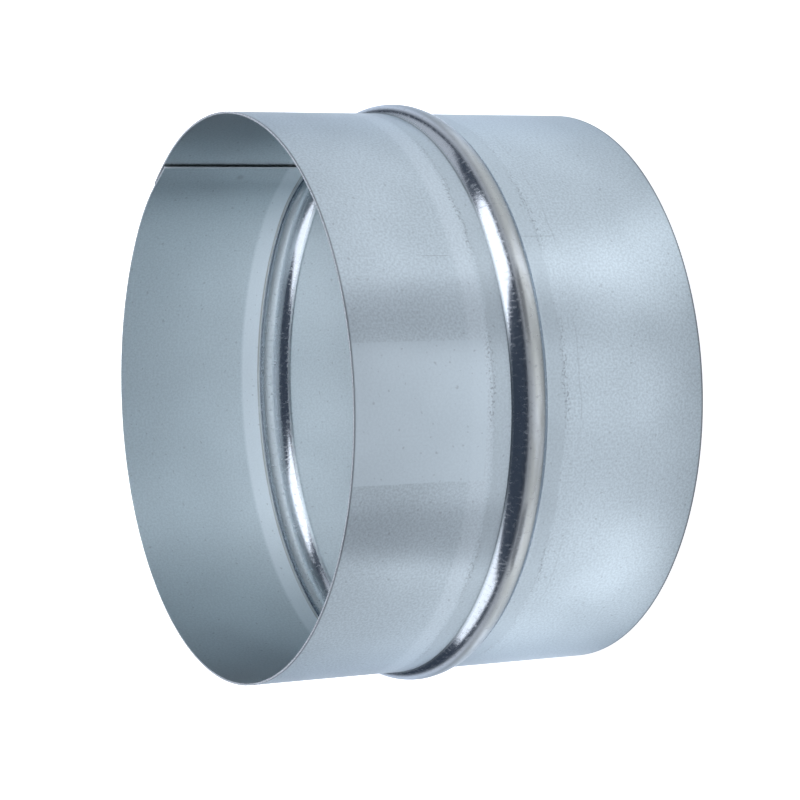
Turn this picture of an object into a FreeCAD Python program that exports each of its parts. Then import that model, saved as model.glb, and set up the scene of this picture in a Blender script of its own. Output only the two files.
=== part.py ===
"""Duct connector: a short sleeve that joins two round ducts, rolled from one galvanised strip.

Frame: millimetres, +Z up along the sleeve's axis, origin at the centre of the lower rim.
One stop bead runs round the outside near the middle, and the ducts push on up to it from both ends.
The strip closes in a joggled lap: its starting edge steps in under the other end, so that the outside
stays flush, and two spot welds hold the lap together.
"""
import FreeCAD, Part
import math
import os
import Sketcher

DRIVING_SIZES = (
    # Sleeve
    ("outer_diameter", 149.0),
    ("sleeve_length", 98.6),
    ("sheet_thickness", 0.5),
    # Stop bead, its width measured between the creases outside
    ("bead_level", 50.6),
    ("bead_width", 10.2),
    ("bead_height", 2.45),
    ("bead_bend_radius", 0.9),
    # Lap seam, measured along the wall from the end of the outer layer
    ("seam_angle", 36.0),
    ("lap_width", 8.5),
    ("lap_gap", 0.1),
    ("edge_lift", 0.5),
    ("joggle_width", 13.0),
    ("butt_gap", 0.3),
    # Spot welds
    ("weld_diameter", 3.0),
)

FULL_TURN = 360
OUTER_RADIUS = "Sizes.outer_diameter / 2"
DEGREES_PER_MM = f"({FULL_TURN} / (pi * Sizes.outer_diameter))"

# The bead's crown is one arc that rises by the bead's height over half its width
CROWN_RADIUS = "(((Sizes.bead_width / 2)^2 / Sizes.bead_height + Sizes.bead_height) / 2)"
CROWN_CENTRE = f"{OUTER_RADIUS} + Sizes.bead_height - {CROWN_RADIUS}"

# Angles round the axis
JOGGLE_FOOT_ANGLE = f"Sizes.seam_angle + Sizes.butt_gap * {DEGREES_PER_MM}"
JOGGLE_TOP_ANGLE = f"Sizes.seam_angle + (Sizes.butt_gap + Sizes.joggle_width) * {DEGREES_PER_MM}"
INNER_EDGE_ANGLE = f"Sizes.seam_angle - Sizes.lap_width * {DEGREES_PER_MM}"
WELD_ANGLE = f"Sizes.seam_angle - Sizes.lap_width / 2 * {DEGREES_PER_MM}"
WALL_SWEEP = f"{FULL_TURN} - (Sizes.butt_gap + Sizes.joggle_width) * {DEGREES_PER_MM}"

# How far the outside of the strip lies within the sleeve's outside
WALL_DEPTH = "0"
JOGGLE_FOOT_DEPTH = "Sizes.sheet_thickness + Sizes.lap_gap"
INNER_EDGE_DEPTH = "Sizes.sheet_thickness + Sizes.lap_gap + Sizes.edge_lift"

# Spot welds, halfway along the lap and between the bead and each rim
WELD_LEVELS = (
    ("lower_weld", "Sizes.bead_level / 2"),
    ("upper_weld", "(Sizes.bead_level + Sizes.sleeve_length) / 2"),
)
# The inner layer runs straight from the joggle to its edge, so halfway it lies a sagitta within the arc
LAP_SAGITTA = "(Sizes.lap_width / 2)^2 / Sizes.outer_diameter"
GAP_AT_WELD = f"Sizes.lap_gap + Sizes.edge_lift / 2 + {LAP_SAGITTA}"
WELD_OUTER_RADIUS = f"{OUTER_RADIUS} - Sizes.sheet_thickness / 2"
WELD_INNER_RADIUS = f"{WELD_OUTER_RADIUS} - Sizes.sheet_thickness - ({GAP_AT_WELD})"

# The sketcher's own numbers for the points of an edge, the origin and the x axis
START = 1
END = 2
CENTRE = 3
ORIGIN = -1
X_AXIS = -1

doc = FreeCAD.newDocument("duct_connector")


def make_sheet():
    """The driving sizes, one row each, with the name beside the number."""
    sheet = doc.addObject("Spreadsheet::Sheet", "Sizes")
    for row, (name, value) in enumerate(DRIVING_SIZES, start=1):
        sheet.set(f"A{row}", name)
        sheet.set(f"B{row}", str(value))
        sheet.setAlias(f"B{row}", name)
    doc.recompute()
    return sheet


def size(name):
    return float(sizes.get(name))


def origin_plane(body, role):
    for feature in body.Origin.OriginFeatures:
        if feature.Role == role:
            return feature
    raise ValueError(f"no origin plane {role}")


def axial_sketch(body, name, angle):
    """A sketch in the half plane through the axis at an angle: x is the radius and y the height."""
    sketch = body.newObject("Sketcher::SketchObject", name)
    sketch.AttachmentSupport = [(origin_plane(body, "XZ_Plane"), "")]
    sketch.MapMode = "FlatFace"
    no_shift = FreeCAD.Vector(0, 0, 0)
    upright = FreeCAD.Vector(0, 1, 0)
    start_angle = size("seam_angle")
    sketch.AttachmentOffset = FreeCAD.Placement(no_shift, FreeCAD.Rotation(upright, start_angle))
    sketch.setExpression("AttachmentOffset.Rotation.Angle", angle)
    return sketch


def at(x, y):
    return FreeCAD.Vector(x, y, 0)


def add_line(sketch, start, end):
    return sketch.addGeometry(Part.LineSegment(start, end), False)


def add_arc(sketch, centre, radius, first_angle, last_angle):
    circle = Part.Circle(centre, FreeCAD.Vector(0, 0, 1), radius)
    return sketch.addGeometry(Part.ArcOfCircle(circle, first_angle, last_angle), False)


def constrain(sketch, *terms):
    sketch.addConstraint(Sketcher.Constraint(*terms))


def bind(sketch, name, expression, *terms):
    """Adds a named dimension to a sketch and ties it to the driving sizes."""
    constrain(sketch, *terms, sketch.evalExpression(expression))
    sketch.renameConstraint(sketch.ConstraintCount - 1, name)
    sketch.setExpression(f"Constraints.{name}", expression)


def wall_lines(sketch, face, depth, lower_end, upper_start):
    """The plain walls below and above the bead on one face of the strip, from rim to rim."""
    wall_x = sketch.evalExpression(f"{OUTER_RADIUS} - ({depth})")
    lower = add_line(sketch, at(wall_x, 0), at(wall_x, lower_end))
    upper = add_line(sketch, at(wall_x, upper_start), at(wall_x, size("sleeve_length")))
    for wall in (lower, upper):
        constrain(sketch, "Vertical", wall)
    constrain(sketch, "PointOnObject", lower, START, X_AXIS)
    radius = f"{OUTER_RADIUS} - ({depth})"
    bind(sketch, f"{face}_lower_radius", radius, "DistanceX", ORIGIN, START, lower, START)
    bind(sketch, f"{face}_upper_radius", radius, "DistanceX", ORIGIN, START, upper, END)
    bind(sketch, f"{face}_length", "Sizes.sleeve_length", "DistanceY", ORIGIN, START, upper, END)
    return lower, upper


def crown_arc(sketch, face, depth, half_angle):
    """The bead's crown on one face of the strip, about the centre that all the layers share."""
    radius = f"{CROWN_RADIUS} - ({depth})"
    centre = at(sketch.evalExpression(CROWN_CENTRE), size("bead_level"))
    crown = add_arc(sketch, centre, sketch.evalExpression(radius), -half_angle, half_angle)
    bind(sketch, f"{face}_crown_radius", radius, "Radius", crown)
    bind(sketch, f"{face}_crown_centre", CROWN_CENTRE, "DistanceX", ORIGIN, START, crown, CENTRE)
    bind(sketch, f"{face}_crown_level", "Sizes.bead_level", "DistanceY", ORIGIN, START, crown, CENTRE)
    return crown


def outside_face(sketch, depth):
    """The strip's outside, creased where the bead meets the wall."""
    radius = sketch.evalExpression(f"{CROWN_RADIUS} - ({depth})")
    half_angle = math.acos(1 - size("bead_height") / radius)
    half_width = radius * math.sin(half_angle)
    level = size("bead_level")
    lower, upper = wall_lines(sketch, "outside", depth, level - half_width, level + half_width)
    crown = crown_arc(sketch, "outside", depth, half_angle)
    constrain(sketch, "Coincident", lower, END, crown, START)
    constrain(sketch, "Coincident", crown, END, upper, START)
    return lower, upper


def inside_face(sketch, depth):
    """The strip's inside, rounded where the groove behind the bead meets the wall."""
    bend = size("bead_bend_radius")
    arc_sum = sketch.evalExpression(f"{CROWN_RADIUS} - ({depth})") + bend
    half_angle = math.acos(1 - size("bead_height") / arc_sum)
    half_width = arc_sum * math.sin(half_angle)
    level = size("bead_level")
    bend_x = sketch.evalExpression(f"{OUTER_RADIUS} - ({depth})") + bend
    lower, upper = wall_lines(sketch, "inside", depth, level - half_width, level + half_width)
    lower_bend = add_arc(sketch, at(bend_x, level - half_width), bend, math.pi - half_angle, math.pi)
    crown = crown_arc(sketch, "inside", depth, half_angle)
    upper_bend = add_arc(sketch, at(bend_x, level + half_width), bend, math.pi, math.pi + half_angle)
    constrain(sketch, "Tangent", lower, END, lower_bend, END)
    constrain(sketch, "Tangent", lower_bend, START, crown, START)
    constrain(sketch, "Tangent", crown, END, upper_bend, END)
    constrain(sketch, "Tangent", upper_bend, START, upper, START)
    for name, arc in (("lower_bend", lower_bend), ("upper_bend", upper_bend)):
        bind(sketch, name, "Sizes.bead_bend_radius", "Radius", arc)
    return lower, upper


def strip_section(body, name, angle, depth):
    """The strip's section at an angle round the axis, its outside a depth within the sleeve's."""
    sketch = axial_sketch(body, name, angle)
    outside = outside_face(sketch, depth)
    inside = inside_face(sketch, f"{depth} + Sizes.sheet_thickness")
    for outer, inner, point in zip(outside, inside, (START, END)):
        rim = add_line(sketch, sketch.getPoint(outer, point), sketch.getPoint(inner, point))
        constrain(sketch, "Coincident", rim, START, outer, point)
        constrain(sketch, "Coincident", rim, END, inner, point)
    return sketch


def spot_weld(body, name, level):
    """A weld nugget across the gap of the lap, from the middle of one layer to that of the other."""
    sketch = axial_sketch(body, f"{name}_section", WELD_ANGLE)
    inner_x = sketch.evalExpression(WELD_INNER_RADIUS)
    outer_x = sketch.evalExpression(WELD_OUTER_RADIUS)
    low_y = sketch.evalExpression(level)
    high_y = low_y + size("weld_diameter") / 2
    corners = [at(inner_x, low_y), at(outer_x, low_y), at(outer_x, high_y), at(inner_x, high_y)]
    following_corners = corners[1:] + corners[:1]
    sides = [add_line(sketch, *ends) for ends in zip(corners, following_corners)]
    for side, following in zip(sides, sides[1:] + sides[:1]):
        constrain(sketch, "Coincident", side, END, following, START)
    axis, outer_end, far_side, inner_end = sides
    for side in (axis, far_side):
        constrain(sketch, "Horizontal", side)
    for side in (outer_end, inner_end):
        constrain(sketch, "Vertical", side)
    bind(sketch, "inner_radius", WELD_INNER_RADIUS, "DistanceX", ORIGIN, START, axis, START)
    bind(sketch, "outer_radius", WELD_OUTER_RADIUS, "DistanceX", ORIGIN, START, axis, END)
    bind(sketch, "level", level, "DistanceY", ORIGIN, START, axis, START)
    bind(sketch, "half_width", "Sizes.weld_diameter / 2", "DistanceY", outer_end, START, outer_end, END)
    nugget = body.newObject("PartDesign::Revolution", name)
    nugget.Profile = sketch
    nugget.ReferenceAxis = (sketch, ["Edge1"])
    nugget.Angle = FULL_TURN


def make_sleeve():
    body = doc.addObject("PartDesign::Body", "sleeve")
    body.Label = "sleeve"
    wall_section = strip_section(body, "wall_section", JOGGLE_TOP_ANGLE, WALL_DEPTH)
    foot_section = strip_section(body, "joggle_foot_section", JOGGLE_FOOT_ANGLE, JOGGLE_FOOT_DEPTH)
    edge_section = strip_section(body, "inner_edge_section", INNER_EDGE_ANGLE, INNER_EDGE_DEPTH)
    doc.recompute()

    wall = body.newObject("PartDesign::Revolution", "rolled_wall")
    wall.Profile = wall_section
    wall.ReferenceAxis = (wall_section, ["V_Axis"])
    wall.setExpression("Angle", WALL_SWEEP)
    doc.recompute()

    lap = body.newObject("PartDesign::AdditiveLoft", "joggled_lap")
    lap.Profile = wall_section
    lap.Sections = [foot_section, edge_section]
    lap.Ruled = True
    doc.recompute()

    for name, level in WELD_LEVELS:
        spot_weld(body, name, level)
        doc.recompute()
    return body


def check_and_write(body):
    for item in doc.Objects:
        if "Invalid" in item.State or "Error" in item.State:
            raise RuntimeError(f"{item.Name} did not compute: {item.State}")
    if body.Shape.isNull() or not body.Shape.isValid():
        raise RuntimeError(f"{body.Label} has no valid shape")
    if len(body.Shape.Solids) != 1:
        raise RuntimeError(f"{body.Label} is not one solid")
    body.Shape.exportStep(f"parts/{body.Label}.step")


os.makedirs("parts", exist_ok=True)
sizes = make_sheet()
check_and_write(make_sleeve())
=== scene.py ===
"""Dresses the duct connector for rendering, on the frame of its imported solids.

The sleeve is one galvanised strip, rolled round with a stop bead and closed in a joggled lap.
Everything is in metres, +Z up along the sleeve's axis, with the origin at the centre of the lower rim.
"""

import math

import bmesh
import bpy
import numpy as np
from bpy.props import FloatProperty, FloatVectorProperty, PointerProperty
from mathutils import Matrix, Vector


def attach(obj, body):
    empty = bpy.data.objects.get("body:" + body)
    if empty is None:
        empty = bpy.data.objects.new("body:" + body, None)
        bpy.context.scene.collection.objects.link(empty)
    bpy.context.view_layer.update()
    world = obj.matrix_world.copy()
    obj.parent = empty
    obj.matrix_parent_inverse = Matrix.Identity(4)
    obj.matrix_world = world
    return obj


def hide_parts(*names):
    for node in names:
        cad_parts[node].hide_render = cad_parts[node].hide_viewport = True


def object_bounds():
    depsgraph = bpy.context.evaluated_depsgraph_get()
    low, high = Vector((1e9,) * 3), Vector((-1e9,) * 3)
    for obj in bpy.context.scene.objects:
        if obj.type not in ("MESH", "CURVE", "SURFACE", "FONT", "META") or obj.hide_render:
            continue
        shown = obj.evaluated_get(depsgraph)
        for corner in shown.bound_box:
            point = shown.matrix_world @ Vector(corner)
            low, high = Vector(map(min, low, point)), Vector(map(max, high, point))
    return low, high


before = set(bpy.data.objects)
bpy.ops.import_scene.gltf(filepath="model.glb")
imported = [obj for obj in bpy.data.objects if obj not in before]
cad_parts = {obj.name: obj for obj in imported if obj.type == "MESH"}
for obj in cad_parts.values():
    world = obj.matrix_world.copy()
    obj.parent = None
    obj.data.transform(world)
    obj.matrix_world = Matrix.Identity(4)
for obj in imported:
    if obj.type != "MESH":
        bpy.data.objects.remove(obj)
CAD_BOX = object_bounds()

bl_info = {
    "name": "Duct Connector",
    "version": (1, 0, 0),
    "blender": (4, 5, 0),
    "location": "3D View > Sidebar > Duct",
    "description": "Builds a galvanised duct connector with a stop bead and a lap seam, and its studio",
    "category": "Object",
}

MM = 0.001
SLEEVE_NODE = "sleeve"
SLEEVE_BODY = "root"
STRIP_MAP = "Strip"
FROM_BEAD = "from_bead"
BEAD_RISE = "bead_rise"
ON_INSIDE = "on_inside"

FACE_MATERIAL = 0
EDGE_MATERIAL = 1


# Properties that a user would change


def length(name, description, millimetres):
    return FloatProperty(
        name=name,
        description=description,
        default=millimetres * MM,
        subtype="DISTANCE",
        unit="LENGTH",
    )


def angle(name, description, degrees):
    return FloatProperty(
        name=name,
        description=description,
        default=math.radians(degrees),
        subtype="ANGLE",
        unit="ROTATION",
    )


def colour(name, description, red, green, blue):
    return FloatVectorProperty(
        name=name,
        description=description,
        default=(red, green, blue, 1.0),
        size=4,
        min=0.0,
        max=1.0,
        subtype="COLOR",
    )


def share(name, description, value):
    return FloatProperty(
        name=name, description=description, default=value, min=0.0, max=1.0, subtype="FACTOR"
    )


class DuctSleeveSizes(bpy.types.PropertyGroup):
    outer_diameter: length("Outer diameter", "Across the plain wall", 149.0)
    sleeve_length: length("Length", "From rim to rim", 98.6)
    sheet_thickness: length("Sheet", "Thickness of the sheet", 0.5)
    bead_level: length("Bead level", "Height of the middle of the bead", 50.6)
    bead_width: length("Bead width", "Between the creases outside", 10.2)
    bead_height: length("Bead height", "How far the bead stands out of the wall", 2.45)
    crease_radius: length("Crease radius", "Bend outside, where the bead meets the wall", 0.3)
    weld_diameter: length("Weld diameter", "Of the spot welds in the lap", 3.0)
    seam_angle: angle("Seam angle", "Where the outer layer of the lap ends", 36.0)
    lap_width: length("Lap width", "How far the layers overlap", 8.5)
    lap_gap: length("Lap gap", "Between the layers at the root of the lap", 0.05)
    edge_lift: length("Edge lift", "How far the inner layer's edge stands off inwards", 0.5)
    joggle_width: length("Joggle width", "Length of the step beside the seam", 16.3)
    butt_gap: length("Butt gap", "Between the outer layer's end and the step", 0.05)
    end_dip: length("End dip", "How far the outer layer's end is drawn in by the welds", 0.2)
    end_swell: length("End swell", "How far the wall springs out beside the lap", 0.38)
    swell_angle: angle("Swell angle", "From the outer layer's end to where the wall springs out most", 18.0)
    settle_angle: angle("Settle angle", "From the outer layer's end to where the wall is round again", 60.0)


class DuctZincFinish(bpy.types.PropertyGroup):
    pale_zinc: colour("Pale zinc", "Bright flecks of the coating", 0.605, 0.67, 0.69)
    dull_zinc: colour("Dull zinc", "Grey flecks of the coating", 0.435, 0.485, 0.50)
    bright_zinc: colour("Bright zinc", "Burnished crest of the bead", 0.66, 0.69, 0.72)
    # The film also runs over the crest of the bead, where it is painted shade
    film: colour("Roller film", "Warm film left by the beading rolls", 0.37, 0.375, 0.352)
    rubbed_zinc: colour("Rubbed zinc", "Zinc that the rolls rubbed bright", 0.80, 0.85, 0.87)
    cut_steel: colour("Cut steel", "Bare steel at the sheared rims", 0.44, 0.46, 0.48)
    # Partly fresh steel, partly a painted highlight on the strip's cut ends
    end_steel_and_highlight: colour("End steel", "Fresh steel at the ends of the strip", 0.86, 0.87, 0.88)
    # Also the tone of the painted shade by the crest, in the groove, in the creases and beside the rims
    soil_and_shade: colour("Soil", "Scuffs, specks and weld marks", 0.20, 0.21, 0.22)
    sheen: share("Sheen", "How much of the plain wall mirrors like bare metal", 0.88)
    edge_sheen: share("Edge sheen", "How much of a cut edge mirrors like bare metal", 0.5)
    rolling: share("Rolling", "How much more the wall blurs across its grain than along it", 0.6)
    wall_roughness: share("Wall roughness", "Of the plain galvanised wall", 0.34)
    bead_roughness: share("Bead roughness", "Of the burnished crest of the bead", 0.17)


class DuctStudio(bpy.types.PropertyGroup):
    lamp_tint: FloatVectorProperty(
        name="Lamp tint",
        description="Cool white of the soft boxes and of the floor as mirrored",
        default=(0.87, 0.915, 1.0),
        size=3,
        min=0.0,
        max=1.0,
        subtype="COLOR",
    )
    floor_white: colour("Floor", "Colour of the floor", 0.80, 0.80, 0.80)
    seen_white: share("White as seen", "White added to the floor as the camera sees it", 0.85)
    floor_lift: share("Floor lift", "White added to the floor as mirrored", 0.35)
    floor_glow: share("Floor glow", "White added beside the sleeve as mirrored", 0.20)
    inside_lift: share("Inside lift", "White added within the sleeve as mirrored", 0.36)
    inside_glow: share("Inside glow", "More white towards the sides within the sleeve", 0.48)
    card_grey: colour("Cards", "Grey of the cards before the sleeve", 0.53, 0.53, 0.54)
    surround: colour("Surround", "Dim room around the stage", 0.045, 0.060, 0.088)
    camera_place: FloatVectorProperty(
        name="Camera place",
        description="Where the camera stands",
        default=(0.0, -0.6583, 0.3876),
        size=3,
        subtype="TRANSLATION",
        unit="LENGTH",
    )
    camera_turn: FloatVectorProperty(
        name="Camera turn",
        description="How the camera is turned; it lies on its side",
        default=(math.radians(-4.464), math.radians(62.612), math.radians(-94.851)),
        size=3,
        subtype="EULER",
        unit="ROTATION",
    )
    camera_lens: FloatProperty(
        name="Lens", description="Focal length in millimetres", default=123.87, unit="CAMERA"
    )


# Sleeve mesh

SEAM_STEP = math.radians(0.2)
NEAR_STEP = math.radians(0.5)
WALL_STEP = math.radians(1.0)
NEAR_SEAM = math.radians(16.0)
FOOT_POINTS = 6
CROWN_POINTS = 27
# Shares of the way from a rim to the bead
RIM_SPACING = (0.0, 0.004, 0.01, 0.02, 0.04, 0.08, 0.16, 0.28, 0.42, 0.56, 0.70, 0.82, 0.91, 0.97, 1.0)
# Where the inside, the rims and the ends lie on the map of the unrolled strip
INSIDE_SHIFT = 0.16
RIM_SHIFT = 0.30
END_SHIFT = 0.60
END_FIELD = (0.55, 0.58)


def smooth_step(low, high, values):
    share_of_way = np.clip((values - low) / (high - low), 0.0, 1.0)
    return share_of_way * share_of_way * (3.0 - 2.0 * share_of_way)


class Seam:
    """The angles of the lap seam, from the inner layer's edge round to the outer layer's end."""

    def __init__(self, sizes):
        radius = sizes.outer_diameter / 2
        self.outer_end = sizes.seam_angle + 2 * math.pi
        self.inner_edge = sizes.seam_angle - sizes.lap_width / radius
        self.joggle_foot = sizes.seam_angle + sizes.butt_gap / radius
        self.joggle_top = self.joggle_foot + sizes.joggle_width / radius


def strip_angles(seam):
    """Angles of the strip's stations, closer together near the seam."""
    near_start = seam.joggle_top + SEAM_STEP
    near_end = seam.outer_end - NEAR_SEAM
    stretches = (
        (seam.inner_edge, near_start, SEAM_STEP),
        (near_start, near_end, WALL_STEP),
        (near_end, seam.outer_end, NEAR_STEP),
    )
    angles = []
    for start, end, step in stretches:
        count = math.ceil((end - start) / step)
        angles.extend(np.linspace(start, end, count, endpoint=False))
    angles.append(seam.outer_end)
    return np.array(angles)


def strip_depths(sizes, seam, angles):
    """How far each station is pressed in under the lap, and how far its wall swells out."""
    tongue_length = seam.joggle_foot - seam.inner_edge
    along_tongue = np.clip((seam.joggle_foot - angles) / tongue_length, 0.0, 1.0)
    sagitta = sizes.lap_width**2 / (4 * sizes.outer_diameter)
    root_depth = sizes.sheet_thickness + sizes.lap_gap + sizes.end_dip
    edge_depth = sizes.sheet_thickness + sizes.lap_gap + sizes.edge_lift
    tongue = root_depth + (edge_depth - root_depth) * along_tongue
    tongue += 4 * sagitta * along_tongue * (1.0 - along_tongue)
    past_foot = np.clip((angles - seam.joggle_foot) / (seam.joggle_top - seam.joggle_foot), 0.0, 1.0)
    inward = tongue * (1.0 - past_foot) ** 2

    before_end = seam.outer_end - angles
    rise = smooth_step(0.0, sizes.swell_angle, before_end)
    fall = smooth_step(sizes.swell_angle, sizes.settle_angle, before_end)
    outward = (sizes.end_swell + sizes.end_dip) * rise - sizes.end_dip - sizes.end_swell * fall
    return inward, outward


class BeadForm:
    """The arcs of the bead: a crown, and a small bend at each foot."""

    def __init__(self, sizes):
        half_width = sizes.bead_width / 2
        self.crown_radius = (half_width**2 / sizes.bead_height + sizes.bead_height) / 2
        self.foot_radius = sizes.crease_radius
        arc_sum = self.crown_radius + self.foot_radius
        self.flank_angle = math.acos(1.0 - sizes.bead_height / arc_sum)
        self.foot_offset = arc_sum * math.sin(self.flank_angle)
        self.growth = 2 * (arc_sum * self.flank_angle - self.foot_offset)


class StripPlaces:
    """Where angles round the sleeve and heights on its walls lie on the unrolled strip."""

    def __init__(self, sizes):
        self.radius = sizes.outer_diameter / 2
        self.start = Seam(sizes).inner_edge
        self.bead_level = sizes.bead_level
        self.growth = BeadForm(sizes).growth
        self.width = sizes.sleeve_length + self.growth

    def along(self, turn):
        return (turn - self.start) * self.radius

    def across(self, height):
        return height if height < self.bead_level else height + self.growth


def strip_profile(sizes, bead, depths, swells):
    """Radius and height of the points across one face of the strip, one row for each depth."""
    radius = sizes.outer_diameter / 2 + swells[:, np.newaxis]
    depth = depths[:, np.newaxis]
    spacing = np.array(RIM_SPACING)
    foot_angles = np.linspace(0.0, bead.flank_angle, FOOT_POINTS)[1:]
    crown_angles = np.linspace(-bead.flank_angle, bead.flank_angle, CROWN_POINTS)[1:-1]

    lower_wall = spacing * (sizes.bead_level - bead.foot_offset)
    upper_wall = sizes.sleeve_length - spacing * (
        sizes.sleeve_length - sizes.bead_level - bead.foot_offset
    )
    wall_radius = radius - depth
    foot_reach = bead.foot_radius + depth
    foot_radius = radius + bead.foot_radius - foot_reach * np.cos(foot_angles)
    foot_rise = foot_reach * np.sin(foot_angles)
    crown_reach = bead.crown_radius - depth
    crown_centre = radius + sizes.bead_height - bead.crown_radius

    flat = np.ones_like(depth)
    radii = np.hstack((
        wall_radius * np.ones_like(spacing),
        foot_radius,
        crown_centre + crown_reach * np.cos(crown_angles),
        foot_radius[:, ::-1],
        wall_radius * np.ones_like(spacing),
    ))
    heights = np.hstack((
        flat * lower_wall,
        sizes.bead_level - bead.foot_offset + foot_rise,
        sizes.bead_level + crown_reach * np.sin(crown_angles),
        sizes.bead_level + bead.foot_offset - foot_rise[:, ::-1],
        flat * upper_wall[::-1],
    ))
    return radii, heights


def grid_quads(rows, columns, first):
    """Quads of a grid of points, numbered row by row from a first point."""
    numbers = first + np.arange(rows * columns).reshape(rows, columns)
    return np.stack(
        (numbers[:-1, :-1], numbers[1:, :-1], numbers[1:, 1:], numbers[:-1, 1:]), axis=-1
    ).reshape(-1, 4)


def bridge_quads(near, far):
    """Quads between two rows of points."""
    return np.stack((near[:-1], far[:-1], far[1:], near[1:]), axis=-1)


def strip_quads(stations, points):
    """The strip's quads: outside, inside, the two rims and the two ends, wound to face out."""
    total = stations * points
    outside = np.arange(total).reshape(stations, points)
    inside = outside + total
    faces = np.vstack((
        grid_quads(stations, points, 0),
        grid_quads(stations, points, total)[:, ::-1],
    ))
    rims = np.vstack((
        bridge_quads(outside[:, 0], inside[:, 0]),
        bridge_quads(inside[:, -1], outside[:, -1]),
    ))
    ends = np.vstack((
        bridge_quads(inside[0], outside[0]),
        bridge_quads(outside[-1], inside[-1]),
    ))
    return faces, rims, ends


def strip_map(along, across, on_inside, thickness, faces, rims, ends):
    """Places on the unrolled strip for every corner: along the strip, then across it."""
    face_map = np.stack((along, across + INSIDE_SHIFT * on_inside), axis=-1)[faces.ravel()]
    rim_map = np.stack((along, RIM_SHIFT + thickness * on_inside), axis=-1)[rims.ravel()]
    end_map = np.stack((END_SHIFT + thickness * on_inside, across), axis=-1)[ends.ravel()]
    return np.vstack((face_map, rim_map, end_map))


def add_point_values(mesh, name, values):
    attribute = mesh.attributes.new(name, "FLOAT", "POINT")
    attribute.data.foreach_set("value", values.astype(np.float32))


def mark_strip(mesh, sizes, bead, angles, quads):
    """Maps the mesh to the unrolled strip, and says how far each point lies from the bead and up its side."""
    radii, heights = strip_profile(sizes, bead, np.zeros(1), np.zeros(1))
    steps = np.hypot(np.diff(radii[0]), np.diff(heights[0]))
    walked = np.concatenate(([0.0], np.cumsum(steps)))
    middle = np.interp(sizes.bead_level, heights[0], walked)
    rise = (radii[0] - sizes.outer_diameter / 2) / sizes.bead_height

    stations = len(angles)
    total = stations * len(walked)
    on_inside = np.arange(2 * total) >= total
    along = np.tile(np.repeat((angles - angles[0]) * sizes.outer_diameter / 2, len(walked)), 2)
    across = np.tile(walked, 2 * stations)
    strip = mesh.uv_layers.new(name=STRIP_MAP)
    corners = strip_map(along, across, on_inside, sizes.sheet_thickness, *quads)
    strip.uv.foreach_set("vector", corners.astype(np.float32).ravel())
    add_point_values(mesh, FROM_BEAD, across - middle)
    add_point_values(mesh, BEAD_RISE, np.tile(rise, 2 * stations))
    add_point_values(mesh, ON_INSIDE, on_inside)


def sharpen_cut_edges(mesh):
    """Keeps the corners of the sheared edges crisp under smooth shading."""
    form = bmesh.new()
    form.from_mesh(mesh)
    for edge in form.edges:
        materials = {face.material_index for face in edge.link_faces}
        edge.smooth = len(materials) == 1
    form.to_mesh(mesh)
    form.free()


def sleeve_mesh(sizes):
    """The rolled strip: its outside, its inside and its sheared edges."""
    seam = Seam(sizes)
    bead = BeadForm(sizes)
    angles = strip_angles(seam)
    depths, swells = strip_depths(sizes, seam, angles)
    face_depths = np.concatenate((depths, depths + sizes.sheet_thickness))
    radii, heights = strip_profile(sizes, bead, face_depths, np.concatenate((swells, swells)))
    turns = np.concatenate((angles, angles))[:, np.newaxis]
    places = np.stack((radii * np.cos(turns), radii * np.sin(turns), heights), axis=-1).reshape(-1, 3)

    faces, rims, ends = strip_quads(len(angles), radii.shape[1])
    quads = np.vstack((faces, rims, ends))
    mesh = bpy.data.meshes.new(SLEEVE_NODE)
    mesh.from_pydata(places.tolist(), [], quads.tolist())
    mesh.polygons.foreach_set("use_smooth", np.ones(len(quads), bool))
    slots = np.full(len(quads), EDGE_MATERIAL, np.int32)
    slots[: len(faces)] = FACE_MATERIAL
    mesh.polygons.foreach_set("material_index", slots)
    mark_strip(mesh, sizes, bead, angles, (faces, rims, ends))
    sharpen_cut_edges(mesh)
    mesh.validate()
    return mesh


# Node helpers

# Places of a mix node's sockets for colours and for values
MIX_COLOURS = {"kind": "RGBA", "first": 6, "second": 7, "result": 2}
MIX_VALUES = {"kind": "FLOAT", "first": 2, "second": 3, "result": 0}


def add_node(tree, kind, **settings):
    node = tree.nodes.new(kind)
    for name, value in settings.items():
        setattr(node, name, value)
    return node


def feed(tree, socket, value):
    """Links a socket to another, or sets its value."""
    if isinstance(value, bpy.types.NodeSocket):
        tree.links.new(value, socket)
    else:
        socket.default_value = value


def calculate(tree, operation, first, second=0.0, clamp=False):
    node = add_node(tree, "ShaderNodeMath", operation=operation, use_clamp=clamp)
    feed(tree, node.inputs[0], first)
    feed(tree, node.inputs[1], second)
    return node.outputs[0]


def add(tree, first, second):
    return calculate(tree, "ADD", first, second)


def subtract(tree, first, second):
    return calculate(tree, "SUBTRACT", first, second)


def multiply(tree, first, second):
    return calculate(tree, "MULTIPLY", first, second)


def larger(tree, first, second):
    return calculate(tree, "MAXIMUM", first, second)


def ramp(tree, value, low, high, out_low=0.0, out_high=1.0):
    """A smooth ramp of a value between two limits."""
    node = add_node(tree, "ShaderNodeMapRange", interpolation_type="SMOOTHSTEP")
    feed(tree, node.inputs["Value"], value)
    feed(tree, node.inputs["From Min"], low)
    feed(tree, node.inputs["From Max"], high)
    feed(tree, node.inputs["To Min"], out_low)
    feed(tree, node.inputs["To Max"], out_high)
    return node.outputs["Result"]


def between(tree, value, low, high, blur):
    """A band of a value between two limits, with soft edges."""
    rise = ramp(tree, value, low - blur, low + blur)
    fall = ramp(tree, value, high - blur, high + blur, 1.0, 0.0)
    return multiply(tree, rise, fall)


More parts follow.
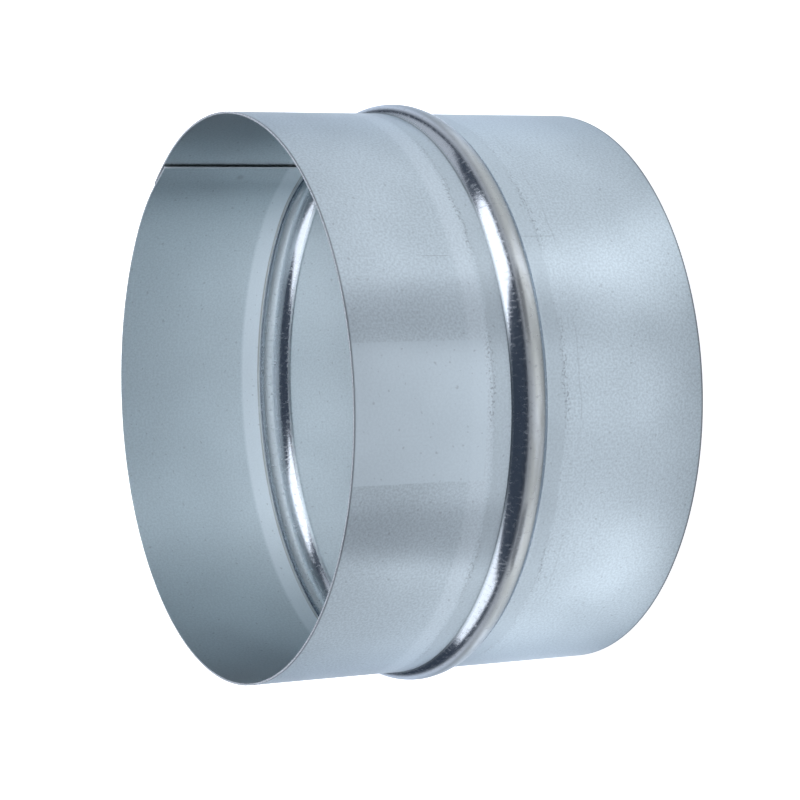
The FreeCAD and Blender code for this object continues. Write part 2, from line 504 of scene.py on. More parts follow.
def mix(tree, sockets, factor, first, second):
    node = add_node(tree, "ShaderNodeMix", data_type=sockets["kind"])
    feed(tree, node.inputs["Factor"], factor)
    feed(tree, node.inputs[sockets["first"]], first)
    feed(tree, node.inputs[sockets["second"]], second)
    return node.outputs[sockets["result"]]


def mix_colours(tree, factor, first, second):
    return mix(tree, MIX_COLOURS, factor, first, second)


def mix_values(tree, factor, first, second):
    return mix(tree, MIX_VALUES, factor, first, second)


def split(tree, place):
    """The X and Y of a place: on the strip's map, along it and across it."""
    parts = add_node(tree, "ShaderNodeSeparateXYZ")
    feed(tree, parts.inputs["Vector"], place)
    return parts.outputs["X"], parts.outputs["Y"]


def distance_from(tree, place, centre):
    """How far a place lies from a centre."""
    node = add_node(tree, "ShaderNodeVectorMath", operation="DISTANCE")
    feed(tree, node.inputs[0], place)
    feed(tree, node.inputs[1], centre)
    return node.outputs["Value"]


def stretch(tree, vector, along, across):
    """A place on the strip, scaled along it and across it."""
    node = add_node(tree, "ShaderNodeMapping", vector_type="POINT")
    feed(tree, node.inputs["Vector"], vector)
    node.inputs["Scale"].default_value = (along, across, 1.0)
    return node.outputs["Vector"]


def noise(tree, vector, scale, detail=2.0, roughness=0.5):
    node = add_node(tree, "ShaderNodeTexNoise", noise_dimensions="2D")
    feed(tree, node.inputs["Vector"], vector)
    feed(tree, node.inputs["Scale"], scale)
    feed(tree, node.inputs["Detail"], detail)
    feed(tree, node.inputs["Roughness"], roughness)
    return node.outputs["Fac"]


def point_value(tree, name):
    return add_node(tree, "ShaderNodeAttribute", attribute_name=name).outputs["Fac"]


def new_group(name, inputs, outputs):
    """An empty node group with named sockets; returns it with its input and output nodes."""
    group = bpy.data.node_groups.new(name, "ShaderNodeTree")
    for socket, kind in inputs:
        group.interface.new_socket(name=socket, in_out="INPUT", socket_type=kind)
    for socket, kind in outputs:
        group.interface.new_socket(name=socket, in_out="OUTPUT", socket_type=kind)
    return group, add_node(group, "NodeGroupInput"), add_node(group, "NodeGroupOutput")


def place_group(tree, group, **values):
    node = add_node(tree, "ShaderNodeGroup", node_tree=group)
    for name, value in values.items():
        feed(tree, node.inputs[name], value)
    return node


# Shared surface effects

VALUE = "NodeSocketFloat"
VECTOR = "NodeSocketVector"

FINE_DETAIL = 3.0
FINE_ROUGHNESS = 0.6
NOISE_SPAN = (0.2, 0.8)
NOISE_MIDDLE = 0.5
FLECK_SCALE = 1600.0
FLECK_SPAN = (0.3, 0.7)
SPECK_SCALE = 700.0
SPECK_DETAIL = 1.0
SPECK_SPAN = (0.73, 0.83)
CLOUD_SCALE = 26.0
CLOUD_SPAN = (0.25, 0.75)
GRAIN_SCALE = 2200.0
GRAIN_STRETCH = 0.04
MOTTLE_SCALE = 1100.0
MOTTLE_STRETCH = 0.5
MOTTLE_SPAN = (0.48, 0.72)
WANDER_SCALE = 60.0
WANDER_STRETCH = 0.05
WANDER = 0.5 * MM
SCUFF_SCALE = 1500.0
SCUFF_DOTS = (0.54, 0.66)
SCUFF_GAPS = 40.0
SCUFF_RUN_STRETCH = 0.1
SCUFF_RUNS = (0.38, 0.66)
FILM_SCALE = 240.0
FILM_STRETCH = 0.2
FILM_SPAN = (0.2, 0.6)
FILM_COVER = (0.6, 1.0)
WELD_RAGGED = (0.6, 1.3)
WELD_CORE = 0.4
CREST_RISE = (0.02, 0.3)

# Bands across the strip, measured from the middle of the bead: from, to and the blur of their edges
# The inner slope is also darkened inside the groove as painted shade
INNER_SLOPE = (-0.4 * MM, 4.6 * MM, 0.5 * MM)
PRESSED_BAND = (5.6 * MM, 10.6 * MM, 0.25 * MM)
RUBBED_OUTSIDE = (11.3 * MM, 16.5 * MM, 0.9 * MM)
RUBBED_INSIDE = (5.9 * MM, 11.4 * MM, 0.7 * MM)
SCUFF_BAND = (10.1 * MM, 11.8 * MM, 0.5 * MM)
SCUFF_LINE = (10.6 * MM, 10.9 * MM, 0.2 * MM)
SECOND_LINE = (-15.3 * MM, -15.0 * MM, 0.2 * MM)
# Painted shade in the crease at the bead's foot outside
CREASE_SHADE_LINE = (5.6 * MM, 5.95 * MM, 0.12 * MM)
# Painted shade beside the crest outside, standing in for a dark reflection
SHADE_BAND = (0.2 * MM, 2.2 * MM, 0.9 * MM)
# The warm film is real on the far slope; over the crest it runs on as painted shade
FAR_SLOPE = (-4.0 * MM, 1.3 * MM, 0.6 * MM)
INNER_LINE = (5.95 * MM, 6.4 * MM, 0.2 * MM)

LINE_STRENGTH = 0.4
CREST_SHADE = 0.7
INNER_SHADE = 0.4
OUTSIDE_RUB = 0.3


def zinc_fleck_group():
    """Fine flecks, small dark specks and broad clouds of a hot-dipped coating."""
    group, entry, result = new_group(
        "Zinc Fleck",
        (("Place", VECTOR), ("Fineness", VALUE)),
        (("Fleck", VALUE), ("Speck", VALUE), ("Cloud", VALUE)),
    )
    place = entry.outputs["Place"]
    fineness = entry.outputs["Fineness"]
    fine = noise(group, place, multiply(group, fineness, FLECK_SCALE), FINE_DETAIL, FINE_ROUGHNESS)
    dots = noise(group, place, multiply(group, fineness, SPECK_SCALE), SPECK_DETAIL)
    cloud = noise(group, place, CLOUD_SCALE)
    feed(group, result.inputs["Fleck"], ramp(group, fine, *FLECK_SPAN))
    feed(group, result.inputs["Speck"], ramp(group, dots, *SPECK_SPAN))
    feed(group, result.inputs["Cloud"], ramp(group, cloud, *CLOUD_SPAN))
    return group


def rolling_grain_group():
    """Fine lines that the mill's rolls left along the strip."""
    group, entry, result = new_group(
        "Rolling Grain", (("Place", VECTOR), ("Fineness", VALUE)), (("Grain", VALUE),)
    )
    lines = stretch(group, entry.outputs["Place"], GRAIN_STRETCH, 1.0)
    scale = multiply(group, entry.outputs["Fineness"], GRAIN_SCALE)
    feed(group, result.inputs["Grain"], noise(group, lines, scale, FINE_DETAIL, FINE_ROUGHNESS))
    return group


def bead_marks_group():
    """Marks of the beading rolls: bands, dotted scuffs, a warm film and fine mottling; painted shade in the
    creases, by the crest and in the groove.
    """
    group, entry, result = new_group(
        "Bead Marks",
        (("Place", VECTOR), ("From Bead", VALUE), ("Rise", VALUE), ("Inside", VALUE)),
        (
            ("Crest", VALUE),
            ("Polish", VALUE),
            ("Pressed", VALUE),
            ("Rubbed", VALUE),
            ("Scuff", VALUE),
            ("Crease", VALUE),
            ("Shade", VALUE),
            ("Film", VALUE),
            ("Mottle", VALUE),
        ),
    )
    place = entry.outputs["Place"]
    from_bead = entry.outputs["From Bead"]
    inside = entry.outputs["Inside"]
    outside = subtract(group, 1.0, inside)

    def band(face, limits):
        """A band beside the bead on one face of the strip."""
        return multiply(group, between(group, from_bead, *limits), face)

    crest = ramp(group, entry.outputs["Rise"], *CREST_RISE)
    inner_slope = band(inside, INNER_SLOPE)
    # Painted shade: a band beside the crest outside, and the groove's inner slope inside
    crest_shade = multiply(group, band(outside, SHADE_BAND), CREST_SHADE)
    inner_shade = multiply(group, inner_slope, INNER_SHADE)
    rubbed_outside = multiply(group, band(outside, RUBBED_OUTSIDE), OUTSIDE_RUB)
    rubbed_inside = band(inside, RUBBED_INSIDE)

    wander = noise(group, stretch(group, place, 1.0, WANDER_STRETCH), WANDER_SCALE)
    shift = ramp(group, wander, *NOISE_SPAN, -WANDER, WANDER)
    loose = subtract(group, calculate(group, "ABSOLUTE", from_bead), shift)
    pressed = multiply(group, between(group, loose, *PRESSED_BAND), outside)

    gaps = noise(group, stretch(group, place, 1.0, SCUFF_RUN_STRETCH), SCUFF_GAPS)
    runs = ramp(group, gaps, *SCUFF_RUNS)
    dots = ramp(group, noise(group, place, SCUFF_SCALE), *SCUFF_DOTS)
    dotted = multiply(group, between(group, loose, *SCUFF_BAND), dots)
    line = between(group, loose, *SCUFF_LINE)
    second_line = between(group, add(group, from_bead, shift), *SECOND_LINE)
    lines = multiply(group, larger(group, line, second_line), LINE_STRENGTH)
    scuff = multiply(group, larger(group, lines, dotted), runs)

    smears = noise(group, stretch(group, place, FILM_STRETCH, 1.0), FILM_SCALE, FINE_DETAIL)
    patches = ramp(group, smears, *FILM_SPAN, *FILM_COVER)
    film = add(group, band(outside, FAR_SLOPE), band(inside, INNER_LINE))
    blotted = stretch(group, place, 1.0, MOTTLE_STRETCH)
    blots = noise(group, blotted, MOTTLE_SCALE, FINE_DETAIL, FINE_ROUGHNESS)

    masks = {
        "Crest": crest,
        "Polish": calculate(group, "SUBTRACT", crest, inner_slope, clamp=True),
        "Pressed": pressed,
        "Rubbed": add(group, rubbed_outside, rubbed_inside),
        "Scuff": multiply(group, scuff, outside),
        # Painted shade along the crease outside
        "Crease": band(outside, CREASE_SHADE_LINE),
        "Shade": add(group, crest_shade, inner_shade),
        "Film": multiply(group, film, patches),
        "Mottle": ramp(group, blots, *MOTTLE_SPAN),
    }
    for name, mask in masks.items():
        feed(group, result.inputs[name], mask)
    return group


def weld_spot_group():
    """A round mask about a point on the strip, ragged at its edge."""
    group, entry, result = new_group(
        "Weld Spot", (("Place", VECTOR), ("Centre", VECTOR), ("Radius", VALUE)), (("Spot", VALUE),)
    )
    place = entry.outputs["Place"]
    ragged = ramp(group, noise(group, place, FLECK_SCALE, FINE_DETAIL), *NOISE_SPAN, *WELD_RAGGED)
    reach = multiply(group, entry.outputs["Radius"], ragged)
    core = multiply(group, reach, WELD_CORE)
    gap = distance_from(group, place, entry.outputs["Centre"])
    feed(group, result.inputs["Spot"], ramp(group, gap, core, reach, 1.0, 0.0))
    return group


# Materials

WHITE = (1.0, 1.0, 1.0, 1.0)
COOL_GLINT = (0.55, 0.60, 0.66, 1.0)
QUARTER_TURN = 0.25

# How much of each mark shows in the colour
WHOLE = 1.0
FLECK_SHARE = 0.62
INSIDE_SHARE = 0.35
PRESSED_SHARE = 0.4
RUBBED_SHARE = 0.6
PANEL_REFLECTION_SHARE = 0.7
SHADE_SHARE = 0.75
SPECK_SHARE = 0.3
SCUFF_SHARE = 0.6
CREASE_SHADE_SHARE = 0.28
SCRATCH_SHARE = 0.5
RIM_SHADE_SHARE = 0.85
WELD_SHARE = 0.3

# Depths in millimetres, and how much each mark adds to the roughness
FLECK_DEPTH = 0.0015
GRAIN_DEPTH = 0.0008
MOTTLE_DEPTH = 0.003
SCUFF_DEPTH = 0.006
EDGE_GRAIN_DEPTH = 0.01
CLOUD_DULLING = 0.04
GRAIN_DULLING = 0.05
MOTTLE_DULLING = 0.12
EDGE_ROUGHNESS = (0.5, 0.7)

# How fine the patterns are on the walls and on the cut edges
WALL_FINENESS = 1.0
EDGE_GRAIN_FINENESS = 1.5
EDGE_FLECK_FINENESS = 2.0

# Where single marks lie, round the sleeve and up its wall
# A painted reflection of a bright panel, as a paler field on the wall
PANEL_REFLECTION = {"start": math.radians(252.8), "end": math.radians(279.4), "low": 62.6 * MM, "high": 110.0 * MM}
PANEL_REFLECTION_BLUR = 0.2 * MM
SCRATCHES = (
    {"turn": math.radians(300.4), "low": 35.5 * MM, "high": 45.2 * MM},
    {"turn": math.radians(296.3), "low": 67.6 * MM, "high": 75.0 * MM},
)
SCRATCH_CORE = 0.036 * MM
SCRATCH_WIDTH = 0.12 * MM
SCRATCH_FADE = 1.0 * MM
# Width of the painted shade line beside each rim outside
RIM_SHADE_LINE = (0.25 * MM, 0.6 * MM)


def new_material(name):
    material = bpy.data.materials.new(name)
    material.use_nodes = True
    tree = material.node_tree
    tree.nodes.clear()
    return material, tree


def finish_surface(tree, shader):
    output = add_node(tree, "ShaderNodeOutputMaterial")
    feed(tree, output.inputs["Surface"], shader)


def finish_metal(tree, base_colour, metallic, roughness, height, rolling=0.0):
    """Ends a metal material: its shader, rolled along the strip, and a bump from a height in millimetres."""
    bump = add_node(tree, "ShaderNodeBump")
    bump.inputs["Strength"].default_value = 1.0
    bump.inputs["Distance"].default_value = MM
    feed(tree, bump.inputs["Height"], height)
    along = add_node(tree, "ShaderNodeTangent", direction_type="UV_MAP", uv_map=STRIP_MAP)
    metal = add_node(tree, "ShaderNodeBsdfPrincipled")
    metal.inputs["Specular Tint"].default_value = COOL_GLINT
    metal.inputs["Anisotropic"].default_value = rolling
    metal.inputs["Anisotropic Rotation"].default_value = QUARTER_TURN
    feed(tree, metal.inputs["Base Color"], base_colour)
    feed(tree, metal.inputs["Metallic"], metallic)
    feed(tree, metal.inputs["Roughness"], roughness)
    feed(tree, metal.inputs["Normal"], bump.outputs["Normal"])
    feed(tree, metal.inputs["Tangent"], along.outputs["Tangent"])
    finish_surface(tree, metal.outputs["BSDF"])


def strip_place(tree):
    return add_node(tree, "ShaderNodeUVMap", uv_map=STRIP_MAP).outputs["UV"]


def painted_panel_reflection(tree, place, strip):
    """A mask of a painted reflection: a paler field of the coating where a bright panel would be mirrored."""
    along, across = split(tree, place)
    round_wall = between(tree, along, strip.along(PANEL_REFLECTION["start"]), strip.along(PANEL_REFLECTION["end"]), PANEL_REFLECTION_BLUR)
    up_wall = between(tree, across, strip.across(PANEL_REFLECTION["low"]), strip.across(PANEL_REFLECTION["high"]), PANEL_REFLECTION_BLUR)
    return multiply(tree, round_wall, up_wall)


def scratches(tree, place, strip):
    """A mask of fine scratches across the strip."""
    along, across = split(tree, place)
    mask = 0.0
    for scratch in SCRATCHES:
        beside = calculate(tree, "ABSOLUTE", subtract(tree, along, strip.along(scratch["turn"])))
        line = ramp(tree, beside, SCRATCH_CORE, SCRATCH_WIDTH, 1.0, 0.0)
        low = strip.across(scratch["low"])
        high = strip.across(scratch["high"])
        reach = between(tree, across, low, high, SCRATCH_FADE)
        mask = larger(tree, multiply(tree, line, reach), mask)
    return mask


def rim_shade_lines(tree, place, strip):
    """A mask of painted shade: a dark line beside each rim outside."""
    across = split(tree, place)[1]
    from_upper = calculate(tree, "ABSOLUTE", subtract(tree, across, strip.width))
    lower = ramp(tree, across, *RIM_SHADE_LINE, 1.0, 0.0)
    upper = ramp(tree, from_upper, *RIM_SHADE_LINE, 1.0, 0.0)
    return larger(tree, lower, upper)


def weld_marks(tree, place, strip, sizes, group):
    """A mask of the spot welds: on the tongue's inside and on the outer layer's outside."""
    beside = sizes.lap_width / 2
    outer = strip.along(Seam(sizes).outer_end) - beside
    levels = (sizes.bead_level / 2, (sizes.bead_level + sizes.sleeve_length) / 2)
    mask = 0.0
    for along, shift in ((beside, INSIDE_SHIFT), (outer, 0.0)):
        for level in levels:
            centre = (along, strip.across(level) + shift, 0.0)
            spot = place_group(tree, group, Place=place, Centre=centre, Radius=sizes.weld_diameter / 2)
            mask = larger(tree, spot.outputs["Spot"], mask)
    return mask


def soil_and_shade_mask(tree, sizes, zinc, marks, place, weld_group):
    """A mask of all that is soiled on the coating, and of the painted shade in the creases and beside the
    rims.
    """
    strip = StripPlaces(sizes)
    soiled_and_shaded = (
        (zinc.outputs["Speck"], SPECK_SHARE),
        (marks.outputs["Scuff"], SCUFF_SHARE),
        (marks.outputs["Crease"], CREASE_SHADE_SHARE),
        (scratches(tree, place, strip), SCRATCH_SHARE),
        (rim_shade_lines(tree, place, strip), RIM_SHADE_SHARE),
        (weld_marks(tree, place, strip, sizes, weld_group), WELD_SHARE),
    )
    soil_and_shade = 0.0
    for mask, part in soiled_and_shaded:
        soil_and_shade = larger(tree, multiply(tree, mask, part), soil_and_shade)
    return soil_and_shade


def coat_colour(tree, finish, zinc, marks, inside, panel_reflection):
    """Colour of the clean coating: its flecks, and over them what the rolls pressed, rubbed and polished, a
    painted panel reflection and painted shade.
    """
    flecks = multiply(tree, zinc.outputs["Fleck"], FLECK_SHARE)
    clouds = multiply(tree, zinc.outputs["Cloud"], 1.0 - FLECK_SHARE)
    coat = mix_colours(tree, add(tree, flecks, clouds), finish.dull_zinc, finish.pale_zinc)
    layers = (
        (inside, INSIDE_SHARE, finish.pale_zinc),
        (marks.outputs["Pressed"], PRESSED_SHARE, finish.dull_zinc),
        (marks.outputs["Rubbed"], RUBBED_SHARE, finish.rubbed_zinc),
        (panel_reflection, PANEL_REFLECTION_SHARE, finish.pale_zinc),
        (marks.outputs["Polish"], WHOLE, finish.bright_zinc),
        (marks.outputs["Film"], WHOLE, finish.film),
        (marks.outputs["Shade"], SHADE_SHARE, finish.soil_and_shade),
    )
    for mask, part, tone in layers:
        coat = mix_colours(tree, multiply(tree, mask, part), coat, tone)
    return coat


def coat_roughness(tree, finish, cloud, grain, crest, mottle):
    """Roughness of the wall, with its clouds and grain, burnished and mottled where the bead rises."""
    clouded = multiply(tree, subtract(tree, NOISE_MIDDLE, cloud), CLOUD_DULLING)
    streaked = multiply(tree, subtract(tree, grain, NOISE_MIDDLE), GRAIN_DULLING)
    wall = add(tree, add(tree, clouded, streaked), finish.wall_roughness)
    burnish = multiply(tree, crest, finish.wall_roughness - finish.bead_roughness)
    mottled = multiply(tree, mottle, MOTTLE_DULLING)
    return calculate(tree, "ADD", subtract(tree, wall, burnish), mottled, clamp=True)


def coat_height(tree, fleck, grain, mottle, soil_and_shade):
    """Height of the coating in millimetres, with the soiled marks and the painted shade lines sunk into it.
    """
    height = multiply(tree, fleck, FLECK_DEPTH)
    height = add(tree, height, multiply(tree, grain, GRAIN_DEPTH))
    height = add(tree, height, multiply(tree, mottle, MOTTLE_DEPTH))
    return subtract(tree, height, multiply(tree, soil_and_shade, SCUFF_DEPTH))


def galvanised_material(sizes, finish, groups):
    """The zinc-coated faces of the strip."""
    material, tree = new_material("Galvanised Sheet")
    place = strip_place(tree)
    inside = point_value(tree, ON_INSIDE)
    zinc = place_group(tree, groups["fleck"], Place=place, Fineness=WALL_FINENESS)
    grain = place_group(tree, groups["grain"], Place=place, Fineness=WALL_FINENESS).outputs["Grain"]
    marks = place_group(
        tree,
        groups["bead"],
        Place=place,
        **{"From Bead": point_value(tree, FROM_BEAD), "Rise": point_value(tree, BEAD_RISE)},
        Inside=inside,
    )
    crest = marks.outputs["Crest"]
    mottle = multiply(tree, marks.outputs["Mottle"], crest)
    soil_and_shade = soil_and_shade_mask(tree, sizes, zinc, marks, place, groups["weld"])
    panel_reflection = painted_panel_reflection(tree, place, StripPlaces(sizes))
    coat = coat_colour(tree, finish, zinc, marks, inside, panel_reflection)
    # Soil, with the painted shade in the creases and beside the rims
    coat = mix_colours(tree, soil_and_shade, coat, finish.soil_and_shade)
    roughness = coat_roughness(tree, finish, zinc.outputs["Cloud"], grain, crest, mottle)
    height = coat_height(tree, zinc.outputs["Fleck"], grain, mottle, soil_and_shade)
    metallic = ramp(tree, crest, 0.0, 1.0, finish.sheen, 1.0)
    finish_metal(tree, coat, metallic, roughness, height, finish.rolling)
    return material


def sheared_edge_material(finish, groups):
    """Bare steel where the strip was cut, finely streaked and fresher at the strip's ends, which are painted
    paler as a highlight.
    """
    material, tree = new_material("Sheared Edge")
    place = strip_place(tree)
    grain = place_group(tree, groups["grain"], Place=place, Fineness=EDGE_GRAIN_FINENESS).outputs["Grain"]
    fleck = place_group(tree, groups["fleck"], Place=place, Fineness=EDGE_FLECK_FINENESS)
    tone = ramp(tree, fleck.outputs["Fleck"], *NOISE_SPAN)
    at_end = ramp(tree, split(tree, place)[0], *END_FIELD)
    base = mix_colours(tree, tone, finish.soil_and_shade, finish.cut_steel)
    base = mix_colours(tree, at_end, base, finish.end_steel_and_highlight)
    roughness = ramp(tree, grain, *NOISE_SPAN, *EDGE_ROUGHNESS)
    finish_metal(tree, base, finish.edge_sheen, roughness, multiply(tree, grain, EDGE_GRAIN_DEPTH))
    return material


# Stage materials

INSIDE_REACH = 0.071
INSIDE_BLUR = 1.0 * MM
INSIDE_SIDES = (0.015, 0.06)
FAR_FLOOR = (0.02, 0.055)
FAR_SHARE = 0.3
RING_REACH = (0.11, 0.2)
SIDE_REACH = (0.2, 0.34)
BACKDROP_REACH = (0.28, 0.6)
FLOOR_MIDDLE = (0.0, 0.0, 0.0)
POOL_CORE = 0.2
# Pools of painted light on the floor, which only reflections show
POOLS = (
    {"centre": (0.043, -0.077, 0.0), "radius": 0.032, "strength": 0.42},
    {"centre": (0.066, -0.096, 0.0), "radius": 0.032, "strength": 0.42},
    {"centre": (0.089, -0.116, 0.0), "radius": 0.032, "strength": 0.42},
    {"centre": (0.0, -0.12, 0.0), "radius": 0.035, "strength": 0.44},
    {"centre": (-0.084, -0.068, 0.0), "radius": 0.05, "strength": 0.54},
    {"centre": (-0.105, 0.0, 0.0), "radius": 0.06, "strength": 0.36},
    {"centre": (-0.06, -0.21, 0.0), "radius": 0.07, "strength": 0.1},
    {"centre": (-0.175, -0.13, 0.0), "radius": 0.09, "strength": 0.72},
)


def add_matt(tree, tint):
    node = add_node(tree, "ShaderNodeBsdfDiffuse")
    node.inputs["Color"].default_value = tint
    return node.outputs["BSDF"]


def add_glow(tree, tint, strength):
    node = add_node(tree, "ShaderNodeEmission")
    node.inputs["Color"].default_value = tint
    feed(tree, node.inputs["Strength"], strength)
    return node.outputs["Emission"]


def add_shaders(tree, first, second):
    node = add_node(tree, "ShaderNodeAddShader")
    feed(tree, node.inputs[0], first)
    feed(tree, node.inputs[1], second)
    return node.outputs["Shader"]


def mirrored_white(tree, studio, place, from_middle):
    """Painted white light that the floor adds as mirrored: a wide field, a ring and pools, or a field within
    the sleeve.
    """
    x_place, y_place = split(tree, place)
    aside = calculate(tree, "ABSOLUTE", x_place)
    wide = ramp(tree, aside, *SIDE_REACH, studio.floor_lift, 0.0)
    ring = ramp(tree, from_middle, *RING_REACH, studio.floor_glow, 0.0)
    around_sleeve = add(tree, ring, wide)
    for pool in POOLS:
        reach = distance_from(tree, place, pool["centre"])
        glow = ramp(tree, reach, POOL_CORE * pool["radius"], pool["radius"], pool["strength"], 0.0)
        around_sleeve = add(tree, around_sleeve, glow)
    side_white = studio.inside_lift + studio.inside_glow
    within = ramp(tree, aside, *INSIDE_SIDES, studio.inside_lift, side_white)
    within = multiply(tree, within, ramp(tree, y_place, *FAR_FLOOR, 1.0, FAR_SHARE))
    under = ramp(tree, from_middle, INSIDE_REACH - INSIDE_BLUR, INSIDE_REACH + INSIDE_BLUR, 1.0, 0.0)
    return mix_values(tree, under, around_sleeve, within)


def floor_material(studio):
    """A pale floor that keeps the shadow, lifted to white as seen and part of the way as mirrored."""
    material, tree = new_material("Studio Floor")
    rays = add_node(tree, "ShaderNodeLightPath")
    mirrored = larger(tree, rays.outputs["Is Glossy Ray"], rays.outputs["Is Transmission Ray"])
    place = add_node(tree, "ShaderNodeTexCoord").outputs["Object"]
    from_middle = distance_from(tree, place, FLOOR_MIDDLE)
    mirror_white = multiply(tree, mirrored, mirrored_white(tree, studio, place, from_middle))
    seen = ramp(tree, from_middle, *BACKDROP_REACH, studio.seen_white, 1.0)
    seen_white = multiply(tree, rays.outputs["Is Camera Ray"], seen)
    mirror_lift = add_glow(tree, (*studio.lamp_tint, 1.0), mirror_white)
    lifted = add_shaders(tree, mirror_lift, add_glow(tree, WHITE, seen_white))
    finish_surface(tree, add_shaders(tree, add_matt(tree, studio.floor_white), lifted))
    return material


def card_material(studio):
    """The plain matt grey of the cards."""
    material, tree = new_material("Grey Card")
    finish_surface(tree, add_matt(tree, studio.card_grey))
    return material


# Sleeve


def link_object(name, data):
    thing = bpy.data.objects.new(name, data)
    bpy.context.scene.collection.objects.link(thing)
    return thing


class DUCT_OT_build_sleeve(bpy.types.Operator):
    """Build the rolled sleeve with its bead and lap seam, and dress it in zinc"""

    bl_idname = "duct.build_sleeve"
    bl_label = "Build Sleeve"

    def execute(self, context):
        sizes = context.scene.duct_sleeve
        finish = context.scene.duct_finish
        groups = {
            "fleck": zinc_fleck_group(),
            "grain": rolling_grain_group(),
            "bead": bead_marks_group(),
            "weld": weld_spot_group(),
        }
        mesh = sleeve_mesh(sizes)
        mesh.materials.append(galvanised_material(sizes, finish, groups))
        mesh.materials.append(sheared_edge_material(finish, groups))
        sleeve = link_object("rolled_sleeve", mesh)
        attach(sleeve, SLEEVE_BODY)
        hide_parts(SLEEVE_NODE)
        return {"FINISHED"}


# Stage

FLOOR_SIZE = 8.0
FLOOR_DROP = 0.1 * MM
CARD_LIFT = 1.0 * MM
SENSOR_WIDTH = 36.0
CARDS = (
    {"name": "right_card", "azimuth": 30.8, "ahead": (0.0977, -0.1999), "width": 0.075, "depth": 0.13},
    {"name": "left_card", "azimuth": -52.5, "ahead": (-0.1635, -0.146), "width": 0.075, "depth": 0.13},
)
SOFTBOXES = (
    {
        "name": "right_softbox", "azimuth": 55.0, "elevation": 35.0, "distance": 0.5,
        "width": 0.31, "height": 0.58, "radiance": 1.9,
    },
    {
        "name": "left_softbox", "azimuth": -89.0, "elevation": 36.0, "distance": 0.5,
        "width": 0.32, "height": 0.5, "radiance": 1.5,
    },
    {
        "name": "top_softbox", "azimuth": 180.0, "elevation": 68.0, "distance": 0.5,
        "width": 0.5, "height": 0.4, "radiance": 4.6,
    },
    {
        "name": "back_softbox", "azimuth": 180.0, "elevation": 28.0, "distance": 1.0,
        "width": 1.2, "height": 0.4, "radiance": 0.5,
    },
    {
        "name": "side_softbox", "azimuth": 118.0, "elevation": 25.0, "distance": 0.9,
        "width": 0.71, "height": 0.66, "radiance": 0.56,
    },
)


def flat_panel(name, width, depth, material):
    """A flat panel about its own middle."""
    half_width = width / 2
    half_depth = depth / 2
    corners = [
        (-half_width, -half_depth, 0.0),
        (half_width, -half_depth, 0.0),
        (half_width, half_depth, 0.0),
        (-half_width, half_depth, 0.0),
    ]
    mesh = bpy.data.meshes.new(name)
    mesh.from_pydata(corners, [], [range(len(corners))])
    mesh.materials.append(material)
    return link_object(name, mesh)


def add_floor(studio):
    floor = flat_panel("studio_floor", FLOOR_SIZE, FLOOR_SIZE, floor_material(studio))
    floor.location.z = CAD_BOX[0].z - FLOOR_DROP


def add_card(studio, name, azimuth, ahead, width, depth):
    """A grey card on the floor before the sleeve, which only its reflection shows."""
    card = flat_panel(name, width, depth, card_material(studio))
    card.location = (*ahead, CARD_LIFT)
    card.rotation_euler.z = math.radians(azimuth)
    card.visible_camera = False
    card.visible_diffuse = False
    card.visible_shadow = False


def around(middle, azimuth, elevation, reach):
    """A place about a point: the azimuth runs from the camera's side, -Y, towards +X."""
    turn = math.radians(azimuth)
    tilt = math.radians(elevation)
    level = reach * math.cos(tilt)
    return middle + Vector((level * math.sin(turn), -level * math.cos(turn), reach * math.sin(tilt)))


def add_softbox(tint, middle, name, azimuth, elevation, distance, width, height, radiance):
    """A soft box that faces a point; its power follows from how bright its face is."""
    lamp = bpy.data.lights.new(name, "AREA")
    lamp.color = tint
    lamp.shape = "RECTANGLE"
    lamp.size = width
    lamp.size_y = height
    lamp.energy = radiance * math.pi * width * height
    box = link_object(name, lamp)
    box.location = around(middle, azimuth, elevation, distance)
    box.rotation_euler = (middle - box.location).to_track_quat("-Z", "Y").to_euler()


def add_surround(context, studio):
    """A dim room as mirrored, and white as seen."""
    world = bpy.data.worlds.new("Studio")
    world.use_nodes = True
    tree = world.node_tree
    rays = add_node(tree, "ShaderNodeLightPath")
    seen = mix_colours(tree, rays.outputs["Is Camera Ray"], studio.surround, WHITE)
    feed(tree, tree.nodes["Background"].inputs["Color"], seen)
    context.scene.world = world


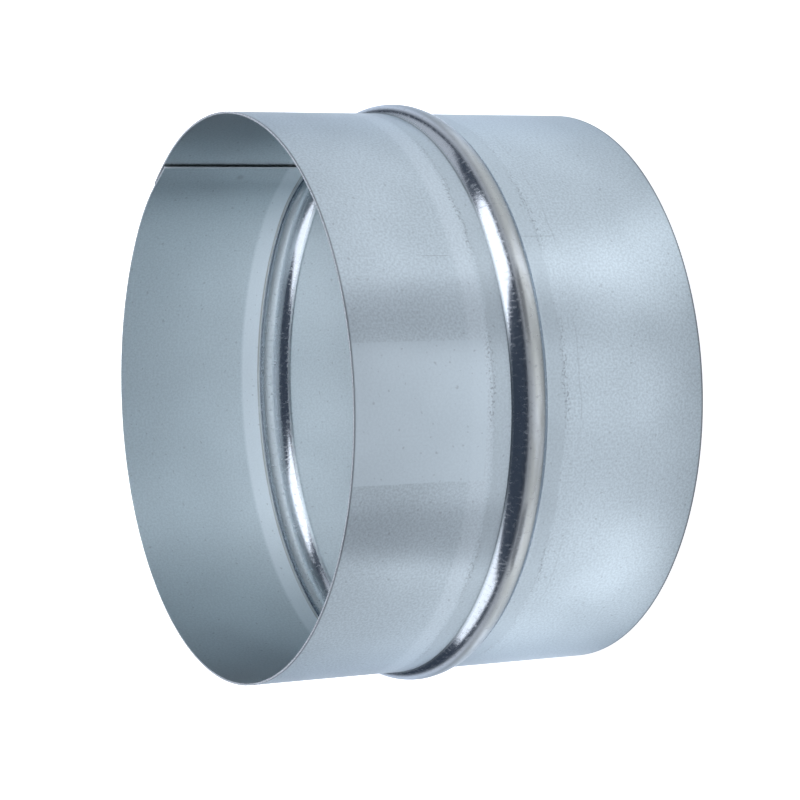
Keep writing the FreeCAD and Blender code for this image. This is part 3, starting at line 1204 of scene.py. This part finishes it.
def add_camera(context, studio):
    data = bpy.data.cameras.new("camera")
    data.sensor_width = SENSOR_WIDTH
    data.lens = studio.camera_lens
    camera = link_object("camera", data)
    camera.location = studio.camera_place
    camera.rotation_euler = studio.camera_turn
    context.scene.camera = camera


class DUCT_OT_set_stage(bpy.types.Operator):
    """Set the floor, the cards, the soft boxes, the dim room and the camera"""

    bl_idname = "duct.set_stage"
    bl_label = "Set Stage"

    def execute(self, context):
        studio = context.scene.duct_studio
        middle = (CAD_BOX[0] + CAD_BOX[1]) / 2
        add_floor(studio)
        for card in CARDS:
            add_card(studio, **card)
        for box in SOFTBOXES:
            add_softbox(studio.lamp_tint, middle, **box)
        add_surround(context, studio)
        add_camera(context, studio)
        context.scene.view_settings.view_transform = "Standard"
        return {"FINISHED"}


# Panel and registration


class DUCT_PT_panel(bpy.types.Panel):
    """Sizes, finish and studio of the duct connector"""

    bl_idname = "DUCT_PT_panel"
    bl_label = "Duct Connector"
    bl_space_type = "VIEW_3D"
    bl_region_type = "UI"
    bl_category = "Duct"

    def draw(self, context):
        scene = context.scene
        for settings in (scene.duct_sleeve, scene.duct_finish, scene.duct_studio):
            section = self.layout.box()
            for name in settings.bl_rna.properties.keys():
                if name not in {"rna_type", "name"}:
                    section.prop(settings, name)
        self.layout.operator(DUCT_OT_build_sleeve.bl_idname)
        self.layout.operator(DUCT_OT_set_stage.bl_idname)


CLASSES = (
    DuctSleeveSizes,
    DuctZincFinish,
    DuctStudio,
    DUCT_OT_build_sleeve,
    DUCT_OT_set_stage,
    DUCT_PT_panel,
)


def register():
    for item in CLASSES:
        bpy.utils.register_class(item)
    bpy.types.Scene.duct_sleeve = PointerProperty(type=DuctSleeveSizes)
    bpy.types.Scene.duct_finish = PointerProperty(type=DuctZincFinish)
    bpy.types.Scene.duct_studio = PointerProperty(type=DuctStudio)


def unregister():
    del bpy.types.Scene.duct_studio
    del bpy.types.Scene.duct_finish
    del bpy.types.Scene.duct_sleeve
    for item in reversed(CLASSES):
        bpy.utils.unregister_class(item)


def main():
    register()
    bpy.ops.duct.build_sleeve()
    bpy.ops.duct.set_stage()


if __name__ == "__main__":
    main()
